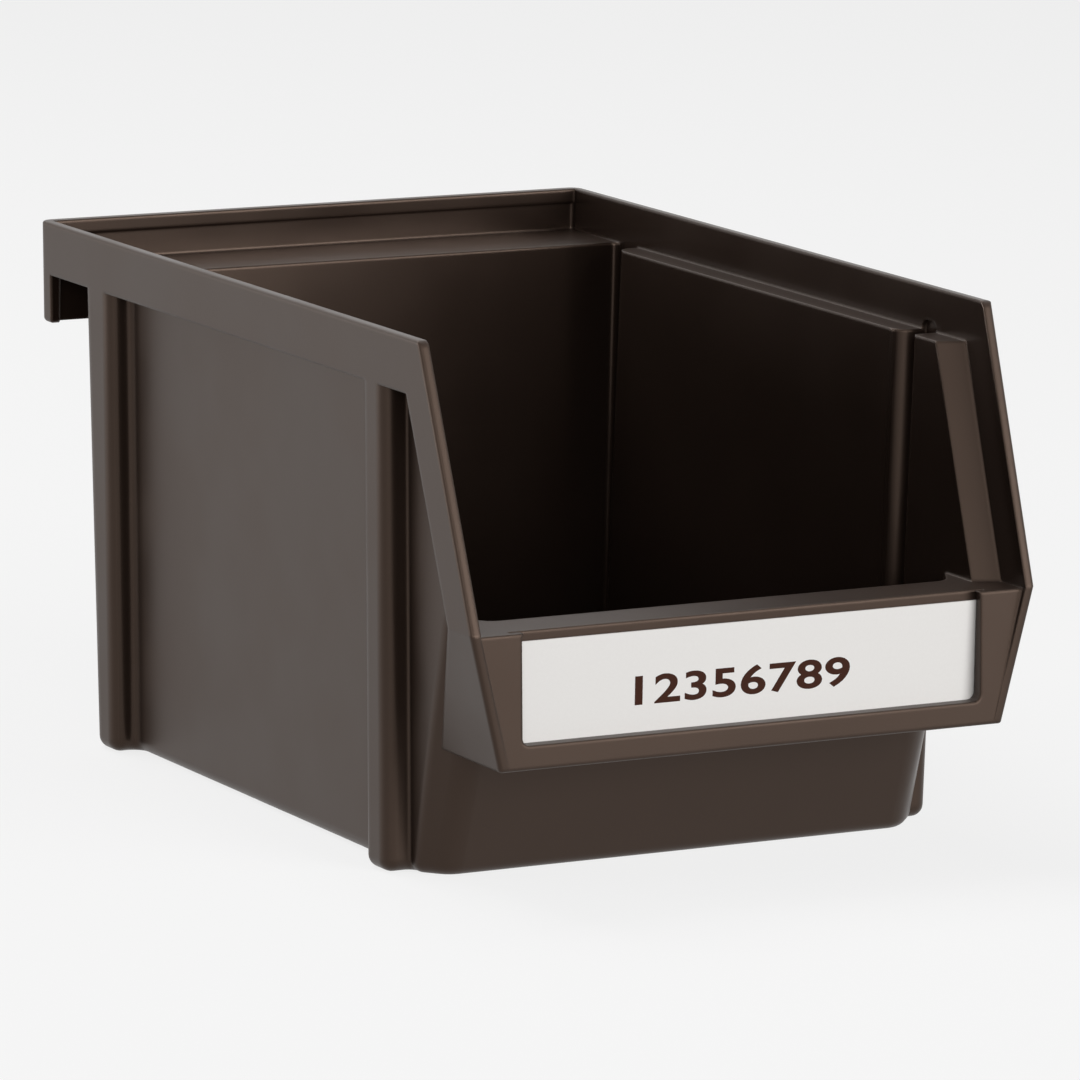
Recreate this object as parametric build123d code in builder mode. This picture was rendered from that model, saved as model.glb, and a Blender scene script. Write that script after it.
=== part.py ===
from build123d import *
import os
from math import cos, radians, sqrt, tan

# Self-service dispensing bin: one thin-walled moulding with an open sloping front, a label
# box across the front, and a hook along the rear rim, plus the card that drops into the
# label box. Millimetres. +Z is up, the front faces -Y, and the origin is the middle of the
# box that the bin fills, at the height of its base.

# Overall sizes
RIM_WIDTH = 160.0
LENGTH = 236.8
HEIGHT = 134.0

# Moulding
WALL = 2.6
FLOOR = 2.8
SIDE_DRAFT = 1.33
REAR_DRAFT = 1.7

# Side walls: raised posts and rim band, with recessed panels between them
RECESS = 6.8
BAND = 13.6
REAR_POST = 16.0
FRONT_POST = 11.6
POST_SETBACK = 18.8
POST_RADIUS = 3.4
FOOT_RADIUS = 2.0
REAR_CORNER = 5.0
POCKET_FOOT = 0.6
POCKET_FOOT_INSIDE = 1.8
RIM_CORNER = 3.4
BASE_FILLET = 3.2
FLOOR_FILLET = 1.2

# Sloping mouth and the flange that runs down beside it
LIP_REACH = 25.8
LIP_TOP = 67.0
MOUTH_CORNER = 2.2
FLANGE = 13.2
FLANGE_STEP = 2.9
FLANGE_RADIUS = 3.0

# Front wall
BASE_SETBACK = 10.2
FRONT_LEAN = 17.4
CORNER_IN = 6.0
CORNER_RUN_BASE = 6.5
CORNER_RUN_LIP = 11.0
CORNER_RADIUS = 8.0
CORNER_END = 3.8

# Label box
LIP_BOTTOM = 33.3
LIP_END_TAPER = 8.4
LIP_END_RUN = 31.0
LIP_EDGE = 0.8
SHELF_DROP = 0.6
RIB = 2.5
RIB_PROUD = 1.6
BEZEL = 2.2
SLOT = 0.9
BACKING = 2.0
WINDOW_WIDTH = 128.0
WINDOW_SILL = 6.0
WINDOW_RADIUS = 2.0
POCKET_SIDE = 2.2
POCKET_BELOW = 2.0

# Label card
CARD_THICKNESS = 0.5
CARD_SIDE_GAP = 0.6
CARD_SEAT_GAP = 0.2
CARD_BELOW_TOP = 2.4
CARD_RADIUS = 1.5

# Hook along the rear rim
HOOK_GAP = 22.6
HOOK_DROP = 26.4
HOOK_RETURN = 6.8
HOOK_RADIUS = 1.2
BEAD_HEIGHT = 3.7
BEAD_PROUD = 0.8

# Round-topped notch at the head of the channel inside each front post
NOTCH_DEPTH = 1.2
NOTCH_RISE = 2.6
NOTCH_RADIUS = 2.2

# Edge rounding
RIM_EDGE = 0.6
MOUTH_EDGE = 0.9

# Places that follow from the sizes
LIP_FRONT = -LENGTH / 2
RIM_FRONT = LIP_FRONT + LIP_REACH
RIM_REAR = LENGTH / 2
LEDGE_UNDER = HEIGHT - BAND
LEDGE_TOP = LEDGE_UNDER + WALL
SHELF = LIP_TOP - SHELF_DROP
HOOK_INNER = RIM_REAR - WALL
HOOK_BOTTOM = HEIGHT - HOOK_DROP
POST_REAR = HOOK_INNER - HOOK_GAP
SLOT_FRONT = LIP_FRONT + RIB_PROUD + BEZEL
SLOT_REAR = SLOT_FRONT + SLOT
PLATE_REAR = SLOT_REAR + BACKING
WINDOW_BOTTOM = LIP_BOTTOM + WINDOW_SILL
POCKET_BOTTOM = WINDOW_BOTTOM - POCKET_BELOW
POCKET_WIDTH = WINDOW_WIDTH + 2 * POCKET_SIDE
OVERRUN = 30.0


def side(z):
    """Half the outside width over posts and band at height z."""
    return RIM_WIDTH / 2 - (HEIGHT - z) * tan(radians(SIDE_DRAFT))


def rear(z):
    """Rear face of the rear wall at height z."""
    return POST_REAR - (LEDGE_UNDER - z) * tan(radians(REAR_DRAFT))


def front(z):
    """Outside of the leaning front wall at height z."""
    return RIM_FRONT + BASE_SETBACK - z * tan(radians(FRONT_LEAN))


def slope(z):
    """Front edge of the side walls at height z, down the sloping mouth."""
    return RIM_FRONT - (HEIGHT - z) * LIP_REACH / (HEIGHT - LIP_TOP)


def lip_end(z):
    """Half the width of the label box at height z."""
    return side(LIP_TOP) - (LIP_TOP - z) * LIP_END_TAPER / (LIP_TOP - LIP_BOTTOM)


def mirrored(corners):
    """A closed outline from its right-hand half; each corner is x, y and its rounding."""
    return corners + [(-x, y, r) for x, y, r in reversed(corners)]


def post_corners(z, inset):
    """Plan of one side wall's posts and panel at height z, moved in by inset."""
    outer = side(z) - inset
    inner = outer - RECESS
    y_post = RIM_FRONT + POST_SETBACK
    foot = POCKET_FOOT if inset == 0 else POCKET_FOOT_INSIDE
    return [
        (inner, y_post + inset, foot),
        (outer, y_post + inset, POST_RADIUS - inset),
        (outer, y_post + FRONT_POST - inset, POST_RADIUS - inset),
        (inner, y_post + FRONT_POST - inset, FOOT_RADIUS + inset),
        (inner, POST_REAR - REAR_POST + inset, FOOT_RADIUS + inset),
        (outer, POST_REAR - REAR_POST + inset, POST_RADIUS - inset),
        (outer, rear(z) - inset, REAR_CORNER - inset),
    ]


def corner_run(z):
    """How far back the tub's slanting front corners reach at height z."""
    return CORNER_RUN_BASE + (CORNER_RUN_LIP - CORNER_RUN_BASE) * z / LIP_TOP


def tub_corners(z, inset):
    """Plan of the tub at height z, with a broad slanting corner each side of the front."""
    run = corner_run(z)
    slant = run / CORNER_IN
    y_front = front(z) + inset / cos(radians(FRONT_LEAN))
    shift = inset * sqrt(1 + slant * slant) - inset * slant
    x_side = side(z) - RECESS - inset
    y_side = front(z) + run + shift
    x_front = x_side - (y_side - y_front) / slant
    radius = CORNER_RADIUS - inset
    end = max(CORNER_END - inset, 0)
    return mirrored([(x_front, y_front, radius), (x_side, y_side, end)] + post_corners(z, inset))


def step_corners(outer, inset, y_front, front_radius, y_step):
    """Half a plan, moved in by inset: back along outer, then a slanting step in to the
    pocket wall."""
    slant = FLANGE_STEP / RECESS
    outer = outer - inset
    y_step = y_step + inset * (slant - sqrt(1 + slant * slant))
    return [
        (outer, y_front, front_radius),
        (outer, y_step, FLANGE_RADIUS - inset),
        (outer - RECESS, y_step + FLANGE_STEP, 0),
    ]


def wall_corners(z, inset, y_front, front_radius=0):
    """Plan of the walls above the lip at height z: flange, pocket, posts, panel and rear."""
    flange = step_corners(side(z), inset, y_front, front_radius, slope(z) + FLANGE)
    return mirrored(flange + post_corners(z, inset))


def skirt_corners(z, inset, y_front, front_radius=0):
    """Plan of the label box at height z, moved in by inset. Its ends run back further below,
    and its walls end inside the tub's own wall."""
    share = (LIP_TOP - z) / (LIP_TOP - LIP_BOTTOM)
    y_step = LIP_FRONT + FLANGE + (LIP_END_RUN - FLANGE) * share
    y_back = front(z) + corner_run(z) + WALL + inset
    ends = step_corners(lip_end(z), inset, y_front, front_radius, y_step)
    return mirrored(ends + [(lip_end(z) - inset - RECESS, y_back, 0)])


def box_corners(half, y_front, y_back, back_radius=0, front_radius=0):
    """A rectangle in plan, centred on X."""
    return mirrored([(half, y_front, front_radius), (half, y_back, back_radius)])


def plan_face(z, corners):
    """A flat face at height z with each corner rounded to its own radius."""
    with BuildSketch(Plane.XY.offset(z)) as outline:
        with BuildLine():
            FilletPolyline(
                *[(x, y) for x, y, r in corners],
                radius=[r for x, y, r in corners],
                close=True,
            )
        make_face()
    return outline.sketch


def lofted(low, low_corners, high, high_corners):
    """A solid between two plans, with straight sides from one to the other."""
    with BuildPart() as block:
        add(plan_face(low, low_corners))
        add(plan_face(high, high_corners))
        loft(ruled=True)
    return block.part


# Outside of the tub below the mouth, with the rounded base
with BuildPart() as tub:
    add(
        lofted(
            0,
            tub_corners(0, 0),
            LIP_TOP,
            tub_corners(LIP_TOP, 0),
        )
    )
    fillet(tub.edges().group_by(Axis.Z)[0], BASE_FILLET)

# Inside of the tub below the mouth
with BuildPart() as tub_inside:
    add(
        lofted(
            FLOOR,
            tub_corners(FLOOR, WALL),
            SHELF,
            tub_corners(SHELF, WALL),
        )
    )
    fillet(tub_inside.edges().group_by(Axis.Z)[0], FLOOR_FILLET)

# Outside and inside of the walls between the lip and the rim band, with the flange that runs
# down beside the mouth
with BuildPart() as walls:
    add(
        lofted(
            LIP_TOP,
            wall_corners(LIP_TOP, 0, slope(LIP_TOP), MOUTH_EDGE),
            LEDGE_UNDER,
            wall_corners(LEDGE_UNDER, 0, slope(LEDGE_UNDER), MOUTH_EDGE),
        )
    )
with BuildPart() as walls_inside:
    add(
        lofted(
            SHELF,
            wall_corners(SHELF, WALL, slope(SHELF) - OVERRUN),
            LEDGE_TOP,
            wall_corners(LEDGE_TOP, WALL, slope(LEDGE_TOP) - OVERRUN),
        )
    )

# Rim band: its outside, and the space inside it that runs back over the hook channel
with BuildPart() as band:
    add(
        lofted(
            LEDGE_UNDER,
            box_corners(side(LEDGE_UNDER), slope(LEDGE_UNDER), RIM_REAR, RIM_CORNER, MOUTH_EDGE),
            HEIGHT,
            box_corners(side(HEIGHT), slope(HEIGHT), RIM_REAR, RIM_CORNER, MOUTH_EDGE),
        )
    )
    fillet(band.edges().group_by(Axis.Z)[-1], RIM_EDGE)
with BuildPart() as band_inside:
    add(
        lofted(
            LEDGE_TOP,
            box_corners(
                side(LEDGE_TOP) - WALL, slope(LEDGE_TOP) - OVERRUN, HOOK_INNER, RIM_CORNER - WALL
            ),
            HEIGHT,
            box_corners(
                side(HEIGHT) - WALL, slope(HEIGHT) - OVERRUN, HOOK_INNER, RIM_CORNER - WALL
            ),
        )
    )

# Hook: the plate that hangs down behind the rim, with a short return at each end
with BuildPart() as hook:
    add(
        lofted(
            HOOK_BOTTOM,
            box_corners(side(HOOK_BOTTOM), RIM_REAR - HOOK_RETURN, RIM_REAR, RIM_CORNER),
            LEDGE_UNDER,
            box_corners(side(LEDGE_UNDER), RIM_REAR - HOOK_RETURN, RIM_REAR, RIM_CORNER),
        )
    )
    fillet(hook.edges().group_by(Axis.Z)[0], HOOK_RADIUS)
    with BuildSketch(Plane.XY.offset(HOOK_BOTTOM)):
        with Locations((0, HOOK_INNER - HOOK_RETURN / 2)):
            Rectangle(2 * (side(HOOK_BOTTOM) - WALL), HOOK_RETURN)
    extrude(amount=LEDGE_UNDER - HOOK_BOTTOM, mode=Mode.SUBTRACT)

# Label box: a skirt that is open underneath, with a sunken face between two end ribs
with BuildPart() as label_box:
    add(
        lofted(
            LIP_BOTTOM,
            skirt_corners(LIP_BOTTOM, 0, LIP_FRONT, MOUTH_EDGE),
            LIP_TOP,
            skirt_corners(LIP_TOP, 0, LIP_FRONT, MOUTH_EDGE),
        )
    )
    fillet(label_box.edges().group_by(Axis.Z)[0], LIP_EDGE)
    add(
        lofted(
            LIP_BOTTOM,
            skirt_corners(LIP_BOTTOM, WALL, PLATE_REAR),
            SHELF - WALL,
            skirt_corners(SHELF - WALL, WALL, PLATE_REAR),
        ),
        mode=Mode.SUBTRACT,
    )
    add(
        lofted(
            LIP_BOTTOM,
            box_corners(lip_end(LIP_BOTTOM) - RIB, LIP_FRONT - OVERRUN, LIP_FRONT),
            LIP_TOP,
            box_corners(lip_end(LIP_TOP) - RIB, LIP_FRONT - OVERRUN, LIP_FRONT + RIB_PROUD),
        ),
        mode=Mode.SUBTRACT,
    )

# The whole moulding: every outside joined, then every inside taken away
with BuildPart() as bin_body:
    add(tub.part)
    add(walls.part)
    add(band.part)
    add(hook.part)
    add(label_box.part)
    add(tub_inside.part, mode=Mode.SUBTRACT)
    add(walls_inside.part, mode=Mode.SUBTRACT)
    add(band_inside.part, mode=Mode.SUBTRACT)

    # Rounded corner where the rim turns down the slope
    with BuildSketch(Plane.YZ):
        with BuildLine():
            corner = FilletPolyline(
                (RIM_FRONT + OVERRUN, HEIGHT),
                (RIM_FRONT, HEIGHT),
                (slope(LIP_TOP), LIP_TOP),
                radius=MOUTH_CORNER,
            )
            Polyline(
                corner @ 1,
                (slope(LIP_TOP) - OVERRUN, LIP_TOP),
                (slope(LIP_TOP) - OVERRUN, HEIGHT + OVERRUN),
                (RIM_FRONT + OVERRUN, HEIGHT + OVERRUN),
                corner @ 0,
            )
        make_face()
    extrude(amount=RIM_WIDTH, both=True, mode=Mode.SUBTRACT)

    # Bead along the inside of the rear rim
    with BuildSketch(Plane.YZ):
        with Locations((HOOK_INNER, HEIGHT)):
            Rectangle(BEAD_PROUD, BEAD_HEIGHT, align=(Align.MAX, Align.MAX))
    extrude(amount=side(HEIGHT) - WALL / 2, both=True)

    # Slot for the card, open at the top, and the window in front of it
    with BuildSketch(Plane.XZ.offset(-SLOT_FRONT)):
        with Locations((0, POCKET_BOTTOM)):
            Rectangle(POCKET_WIDTH, SHELF - POCKET_BOTTOM, align=(Align.CENTER, Align.MIN))
    extrude(amount=-SLOT, mode=Mode.SUBTRACT)
    with BuildSketch(Plane.XZ.offset(-SLOT_FRONT)) as window:
        with Locations((0, WINDOW_BOTTOM)):
            Rectangle(WINDOW_WIDTH, LIP_TOP - WINDOW_BOTTOM, align=(Align.CENTER, Align.MIN))
        fillet(window.vertices().group_by(Axis.Z)[0], WINDOW_RADIUS)
    extrude(amount=OVERRUN, mode=Mode.SUBTRACT)

    # Notch at the head of the channel inside each front post
    for hand in (-1, 1):
        with BuildSketch(Plane.YZ.offset(hand * (side(LEDGE_TOP) - WALL + NOTCH_DEPTH))) as notch:
            with Locations((RIM_FRONT + POST_SETBACK + FRONT_POST / 2, LEDGE_TOP + NOTCH_RISE)):
                Rectangle(
                    FRONT_POST - 2 * WALL, NOTCH_RISE + BAND, align=(Align.CENTER, Align.MAX)
                )
            fillet(notch.vertices().group_by(Axis.Z)[-1], NOTCH_RADIUS)
        extrude(amount=-hand * WALL, mode=Mode.SUBTRACT)

# The card that stands in the slot
CARD_WIDTH = POCKET_WIDTH - 2 * CARD_SIDE_GAP
CARD_BOTTOM = POCKET_BOTTOM + CARD_SEAT_GAP
CARD_TOP = SHELF - CARD_BELOW_TOP
with BuildPart() as label_card:
    with BuildSketch(Plane.XZ.offset(-SLOT_FRONT - (SLOT - CARD_THICKNESS) / 2)) as outline:
        with Locations((0, CARD_BOTTOM)):
            Rectangle(CARD_WIDTH, CARD_TOP - CARD_BOTTOM, align=(Align.CENTER, Align.MIN))
        fillet(outline.vertices(), CARD_RADIUS)
    extrude(amount=-CARD_THICKNESS)

os.makedirs("parts", exist_ok=True)
bin_body.part.label = "bin_body"
label_card.part.label = "label_card"
export_step(bin_body.part, "parts/bin_body.step")
export_step(label_card.part, "parts/label_card.step")
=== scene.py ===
# A self-service bin: one dark brown moulding and the white card in its label box.
# Lengths are metres, in the frame of the CAD model: +Z up, front lip towards -Y.

from math import cos, radians, sin

import bmesh
import bpy
from mathutils import Matrix, Vector


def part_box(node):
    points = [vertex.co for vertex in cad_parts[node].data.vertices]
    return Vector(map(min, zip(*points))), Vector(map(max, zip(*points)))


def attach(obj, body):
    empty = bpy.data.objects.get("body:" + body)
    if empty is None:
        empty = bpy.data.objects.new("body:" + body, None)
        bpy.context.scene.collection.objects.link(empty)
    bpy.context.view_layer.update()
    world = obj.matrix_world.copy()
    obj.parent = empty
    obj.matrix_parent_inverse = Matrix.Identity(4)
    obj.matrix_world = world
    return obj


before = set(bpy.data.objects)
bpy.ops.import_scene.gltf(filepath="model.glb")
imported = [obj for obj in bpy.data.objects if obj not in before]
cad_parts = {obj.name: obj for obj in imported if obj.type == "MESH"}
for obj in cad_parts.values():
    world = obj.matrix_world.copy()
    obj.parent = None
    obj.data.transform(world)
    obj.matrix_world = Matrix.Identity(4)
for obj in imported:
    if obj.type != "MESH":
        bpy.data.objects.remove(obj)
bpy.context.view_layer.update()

# Patterns on the moulding and the card, as repeats per metre
GRAIN_SCALE = 2000.0
WAVE_SCALE = 40.0
STREAK_SCALE = (50.0, 50.0, 12.0)
RUB_SCALE = 28.0
FIBRE_SCALE = 1250.0
SPECK_SCALE = 2500.0

# Surface of the moulding: roughness plain and rubbed, and how the polished inside differs
PLAIN_ROUGHNESS = 0.42
RUBBED_ROUGHNESS = 0.34
POLISHED_SHARE = 0.62
GRAIN_OUTSIDE = 0.18
GRAIN_INSIDE = 0.03
GRAIN_DEPTH = 0.00004
WAVE_DEPTH = 0.0003
EDGE_ROUND = 0.0012

# Digits on the card: their size, the thickness of the ink and where their middle stands
DIGIT_HEIGHT = 0.0074
DIGIT_RUN = 0.060
DIGIT_WEIGHT = 0.022
DIGIT_SPACING = 1.06
INK = 0.00003
DIGITS_ACROSS = -0.0015
DIGITS_UP = 0.0494
WELD = 1e-7

# Camera that took the photograph, fitted in a frame of 1080 pixels
AZIMUTH = radians(28.94)
ELEVATION = radians(10.71)
ROLL = radians(1.01)
CAMERA_PLACE = (-0.96867, -1.76095, 0.44409)
FOCAL_PIXELS = 8073.7
FRAME_PIXELS = 1080
SENSOR = 36.0

# Studio: the floor, how much of its white is its own, and the world's light
FLOOR_SIZE = 12
FLOOR_LIFT = 0.8
WORLD_LIGHT = 0.12
WORLD_SEEN = 1.0
PLAIN_WHITE = (1, 1, 1, 1)


def colour(text):
    """An sRGB hex value such as 3b2f29, as the linear colour that a shader takes."""
    values = [int(text[i:i + 2], 16) / 255 for i in (0, 2, 4)]
    return tuple(v / 12.92 if v <= 0.04045 else ((v + 0.055) / 1.055) ** 2.4 for v in values) + (1,)


def add_node(tree, kind, settings=None, links=None):
    """Adds one node; settings and links name an input, or number it where names repeat."""
    node = tree.nodes.new(kind)
    for name, value in (settings or {}).items():
        if isinstance(name, int) or name in node.inputs:
            node.inputs[name].default_value = value
        else:
            setattr(node, name, value)
    for name, source in (links or {}).items():
        tree.links.new(source, node.inputs[name])
    return node


def new_material(name):
    """An empty material with its node tree and its output node."""
    material = bpy.data.materials.new(name)
    material.use_nodes = True
    material.node_tree.nodes.clear()
    output = material.node_tree.nodes.new("ShaderNodeOutputMaterial")
    return material, material.node_tree, output


def moulded_polypropylene():
    """Dark brown polypropylene, injection moulded in a spark-eroded cavity on a polished core:
    satin outside with a soft broad sheen, glossier inside, a barely uneven surface where it
    shrank, and faint handling rub."""
    material, tree, output = new_material("polypropylene, injection moulded, fine spark-eroded texture")
    coordinates = add_node(tree, "ShaderNodeTexCoord")
    place = coordinates.outputs["Object"]
    # Spark-eroded grain, drawn at 0.5 mm so that it shows
    grain = add_node(
        tree, "ShaderNodeTexNoise",
        {"Scale": GRAIN_SCALE, "Detail": 2.0, "Roughness": 0.6},
        {"Vector": place},
    )
    # Shrinkage waves about 25 mm across
    waves = add_node(
        tree, "ShaderNodeTexNoise",
        {"Scale": WAVE_SCALE, "Detail": 1.0, "Roughness": 0.4},
        {"Vector": place},
    )
    # Streaks of colour where the melt flowed up from the base, 20 mm apart and 80 mm long
    along = add_node(tree, "ShaderNodeMapping", {"Scale": STREAK_SCALE}, {"Vector": place})
    flow = add_node(
        tree, "ShaderNodeTexNoise",
        {"Scale": 1.0, "Detail": 3.0, "Roughness": 0.5},
        {"Vector": along.outputs["Vector"]},
    )
    streaks = add_node(
        tree, "ShaderNodeMix",
        {"data_type": "RGBA", 6: colour("221a16"), 7: colour("281f1a")},
        {"Factor": flow.outputs["Fac"]},
    )
    # Rub from hands: patches about 36 mm across, a little smoother than the rest
    rub = add_node(
        tree, "ShaderNodeTexNoise",
        {"Scale": RUB_SCALE, "Detail": 2.0, "Roughness": 0.5},
        {"Vector": place},
    )
    rubbed = add_node(
        tree, "ShaderNodeMapRange",
        {
            "interpolation_type": "SMOOTHSTEP",
            "From Min": 0.3, "From Max": 0.7,
            "To Min": PLAIN_ROUGHNESS, "To Max": RUBBED_ROUGHNESS,
        },
        {"Value": rub.outputs["Fac"]},
    )
    # Faces turned inwards come off the polished core: smoother than the outside, with less grain
    spoke = add_node(
        tree, "ShaderNodeVectorMath",
        {"operation": "MULTIPLY", 1: (1.0, 1.0, 0.0)},
        {0: place},
    )
    turned = add_node(
        tree, "ShaderNodeVectorMath",
        {"operation": "DOT_PRODUCT"},
        {0: spoke.outputs["Vector"], 1: coordinates.outputs["Normal"]},
    )
    outside = add_node(
        tree, "ShaderNodeMapRange",
        {"From Min": -0.04, "From Max": -0.01},
        {"Value": turned.outputs["Value"]},
    )
    share = add_node(
        tree, "ShaderNodeMath",
        {"operation": "MULTIPLY_ADD", 1: 1 - POLISHED_SHARE, 2: POLISHED_SHARE},
        {0: outside.outputs["Result"]},
    )
    roughness = add_node(
        tree, "ShaderNodeMath",
        {"operation": "MULTIPLY"},
        {0: rubbed.outputs["Result"], 1: share.outputs["Value"]},
    )
    relief = add_node(
        tree, "ShaderNodeMath",
        {"operation": "MULTIPLY_ADD", 1: GRAIN_OUTSIDE - GRAIN_INSIDE, 2: GRAIN_INSIDE},
        {0: outside.outputs["Result"]},
    )
    # Edges that the tool leaves about 1 mm round
    edges = add_node(tree, "ShaderNodeBevel", {"samples": 8, "Radius": EDGE_ROUND})
    coarse = add_node(
        tree, "ShaderNodeBump",
        {"Strength": 0.2, "Distance": WAVE_DEPTH},
        {"Height": waves.outputs["Fac"], "Normal": edges.outputs["Normal"]},
    )
    fine = add_node(
        tree, "ShaderNodeBump",
        {"Distance": GRAIN_DEPTH},
        {
            "Strength": relief.outputs["Value"],
            "Height": grain.outputs["Fac"],
            "Normal": coarse.outputs["Normal"],
        },
    )
    shader = add_node(
        tree, "ShaderNodeBsdfPrincipled",
        {"IOR": 1.49, "Specular Tint": colour("ffdcc6")},
        {
            "Base Color": streaks.outputs[2],
            "Roughness": roughness.outputs["Value"],
            "Normal": fine.outputs["Normal"],
        },
    )
    tree.links.new(shader.outputs["BSDF"], output.inputs["Surface"])
    return material


def coated_card():
    """Clay-coated card, calendered: an even, slightly warm white with almost no shine and a
    faint fibre mottle."""
    material, tree, output = new_material("clay-coated card, calendered")
    place = add_node(tree, "ShaderNodeTexCoord").outputs["Object"]
    # Paper fibres, drawn at 0.8 mm so that they show
    fibres = add_node(
        tree, "ShaderNodeTexNoise",
        {"Scale": FIBRE_SCALE, "Detail": 4.0, "Roughness": 0.7},
        {"Vector": place},
    )
    mottle = add_node(
        tree, "ShaderNodeMix",
        {"data_type": "RGBA", 6: colour("edeae7"), 7: colour("f3f1ee")},
        {"Factor": fibres.outputs["Fac"]},
    )
    bump = add_node(
        tree, "ShaderNodeBump",
        {"Strength": 0.1, "Distance": 0.00003},
        {"Height": fibres.outputs["Fac"]},
    )
    shader = add_node(
        tree, "ShaderNodeBsdfPrincipled",
        {"IOR": 1.5, "Roughness": 0.5},
        {"Base Color": mottle.outputs[2], "Normal": bump.outputs["Normal"]},
    )
    tree.links.new(shader.outputs["BSDF"], output.inputs["Surface"])
    return material


def printed_ink():
    """Dark brown printing ink, laid on card: flat, a little broken where the card shows."""
    material, tree, output = new_material("printing ink, on card")
    place = add_node(tree, "ShaderNodeTexCoord").outputs["Object"]
    # Speckle of missed ink, drawn at 0.4 mm so that it shows
    specks = add_node(
        tree, "ShaderNodeTexNoise",
        {"Scale": SPECK_SCALE, "Detail": 3.0, "Roughness": 0.7},
        {"Vector": place},
    )
    cover = add_node(
        tree, "ShaderNodeMix",
        {"data_type": "RGBA", 6: colour("361c12"), 7: colour("442519")},
        {"Factor": specks.outputs["Fac"]},
    )
    shader = add_node(
        tree, "ShaderNodeBsdfPrincipled",
        {"IOR": 1.5, "Roughness": 0.6, "Specular IOR Level": 0.1},
        {"Base Color": cover.outputs[2]},
    )
    tree.links.new(shader.outputs["BSDF"], output.inputs["Surface"])
    return material


def dress(node, material):
    """Gives a CAD node its material in every slot."""
    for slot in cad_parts[node].material_slots:
        slot.material = material


def seen_directly(tree):
    """1 for what the camera sees, straight or mirrored in the bin, and 0 for other light."""
    path = add_node(tree, "ShaderNodeLightPath")
    seen = add_node(
        tree, "ShaderNodeMath",
        {"operation": "MAXIMUM"},
        {0: path.outputs["Is Camera Ray"], 1: path.outputs["Is Glossy Ray"]},
    )
    return seen.outputs["Value"]


def softbox(name, place, aim, width, height, power):
    """A soft light of width x height at place, turned towards aim; power is in watts."""
    lamp = bpy.data.lights.new(name, "AREA")
    lamp.shape = "RECTANGLE"
    lamp.size = width
    lamp.size_y = height
    lamp.energy = power
    holder = bpy.data.objects.new(name, lamp)
    holder.location = place
    holder.rotation_euler = (Vector(aim) - Vector(place)).to_track_quat("-Z", "Y").to_euler()
    bpy.context.scene.collection.objects.link(holder)


dress("bin_body", moulded_polypropylene())
dress("label_card", coated_card())

# Plain digits printed across the middle of the card
card_low, card_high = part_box("label_card")
text = bpy.data.curves.new("card_digits", "FONT")
text.body = "12356789"
text.align_x = "CENTER"
text.size = 1.0
text.space_character = DIGIT_SPACING
text.extrude = 0.5
text.offset = DIGIT_WEIGHT
text.resolution_u = 6
outline = bpy.data.objects.new("card_digits_curve", text)
bpy.context.scene.collection.objects.link(outline)
bpy.context.view_layer.update()
evaluated = outline.evaluated_get(bpy.context.evaluated_depsgraph_get())
digits_mesh = bpy.data.meshes.new_from_object(evaluated)
bpy.data.objects.remove(outline)

# Stretched to their real size, stood upright and laid on the front of the card
low = Vector([min(v.co[i] for v in digits_mesh.vertices) for i in range(3)])
high = Vector([max(v.co[i] for v in digits_mesh.vertices) for i in range(3)])
middle = (low + high) / 2
span = high - low
stretch = Matrix.Diagonal((DIGIT_RUN / span.x, DIGIT_HEIGHT / span.y, INK / span.z, 1))
stand = Matrix.Rotation(radians(90), 4, "X")
target = Vector((DIGITS_ACROSS, card_low[1] - INK / 2, DIGITS_UP))
digits_mesh.transform(Matrix.Translation(target) @ stand @ stretch @ Matrix.Translation(-middle))
welded = bmesh.new()
welded.from_mesh(digits_mesh)
bmesh.ops.remove_doubles(welded, verts=welded.verts, dist=WELD)
bmesh.ops.recalc_face_normals(welded, faces=welded.faces)
welded.to_mesh(digits_mesh)
welded.free()
digits = bpy.data.objects.new("card_digits", digits_mesh)
bpy.context.scene.collection.objects.link(digits)
digits_mesh.materials.clear()
digits_mesh.materials.append(printed_ink())
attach(digits, "card")

# Camera where the photograph was taken from
look = Vector((sin(AZIMUTH) * cos(ELEVATION), cos(AZIMUTH) * cos(ELEVATION), -sin(ELEVATION)))
level = Vector((cos(AZIMUTH), -sin(AZIMUTH), 0))
upright = level.cross(look)
right = level * cos(ROLL) + upright * sin(ROLL)
up = upright * cos(ROLL) - level * sin(ROLL)
turn = Matrix((right, up, -look)).transposed().to_4x4()
lens = bpy.data.cameras.new("camera")
lens.sensor_fit = "HORIZONTAL"
lens.sensor_width = SENSOR
lens.lens = SENSOR * FOCAL_PIXELS / FRAME_PIXELS
lens.clip_end = 20.0
camera = bpy.data.objects.new("camera", lens)
camera.matrix_world = Matrix.Translation(CAMERA_PLACE) @ turn
bpy.context.scene.collection.objects.link(camera)
bpy.context.scene.camera = camera

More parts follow.
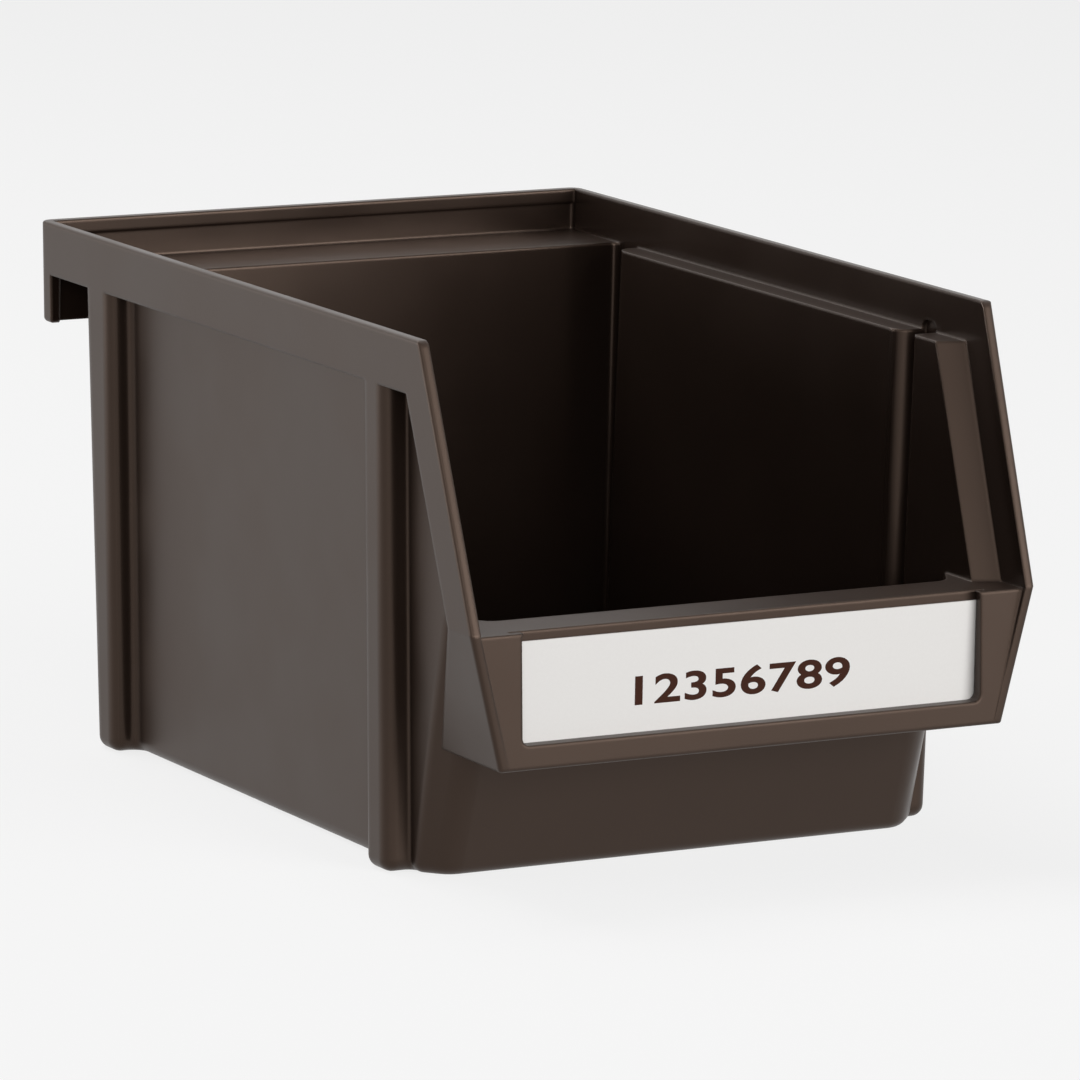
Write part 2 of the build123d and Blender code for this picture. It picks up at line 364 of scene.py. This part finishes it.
# Pale floor, which the camera sees as almost white while it still takes the bin's shadow
bpy.ops.mesh.primitive_plane_add(size=FLOOR_SIZE, location=(0, 0, 0))
floor = bpy.context.object
floor.name = "floor"
floor_paint, floor_tree, floor_output = new_material("painted studio floor, matt white")
matt = add_node(floor_tree, "ShaderNodeBsdfDiffuse", {"Color": colour("f4f4f4")})
lift = add_node(
    floor_tree, "ShaderNodeEmission",
    {"Color": PLAIN_WHITE},
    {"Strength": seen_directly(floor_tree)},
)
floor_mix = add_node(
    floor_tree, "ShaderNodeMixShader",
    {"Fac": FLOOR_LIFT},
    {1: matt.outputs["BSDF"], 2: lift.outputs["Emission"]},
)
floor_tree.links.new(floor_mix.outputs["Shader"], floor_output.inputs["Surface"])
floor.data.materials.append(floor_paint)

# Plain white surroundings: white to the camera and in reflections, softer as light
world = bpy.data.worlds.new("studio")
bpy.context.scene.world = world
world.use_nodes = True
world_tree = world.node_tree
world_tree.nodes.clear()
soft = add_node(world_tree, "ShaderNodeBackground", {"Color": PLAIN_WHITE, "Strength": WORLD_LIGHT})
white = add_node(world_tree, "ShaderNodeBackground", {"Color": PLAIN_WHITE, "Strength": WORLD_SEEN})
world_mix = add_node(
    world_tree, "ShaderNodeMixShader",
    {},
    {
        "Fac": seen_directly(world_tree),
        1: soft.outputs["Background"],
        2: white.outputs["Background"],
    },
)
add_node(world_tree, "ShaderNodeOutputWorld", {}, {"Surface": world_mix.outputs["Shader"]})

# Key light on the front, a low one that grazes the left side, a small fill and one above
softbox(
    "softbox_left", place=(-1.4, 0.8, 0.25), aim=(0, 0, 0.08), width=1.0, height=0.4, power=9
)
softbox(
    "softbox_right_front", place=(0.75, -1.75, 0.5), aim=(0, 0, 0.06), width=1.3, height=0.8, power=23
)
softbox(
    "softbox_left_front", place=(-0.9, -1.7, 0.5), aim=(0, 0, 0.06), width=0.8, height=0.6, power=7.5
)
softbox(
    "softbox_above", place=(-0.3, 0.9, 1.6), aim=(0, 0, 0.1), width=1.0, height=1.0, power=12
)

bpy.context.scene.view_settings.view_transform = "Standard"
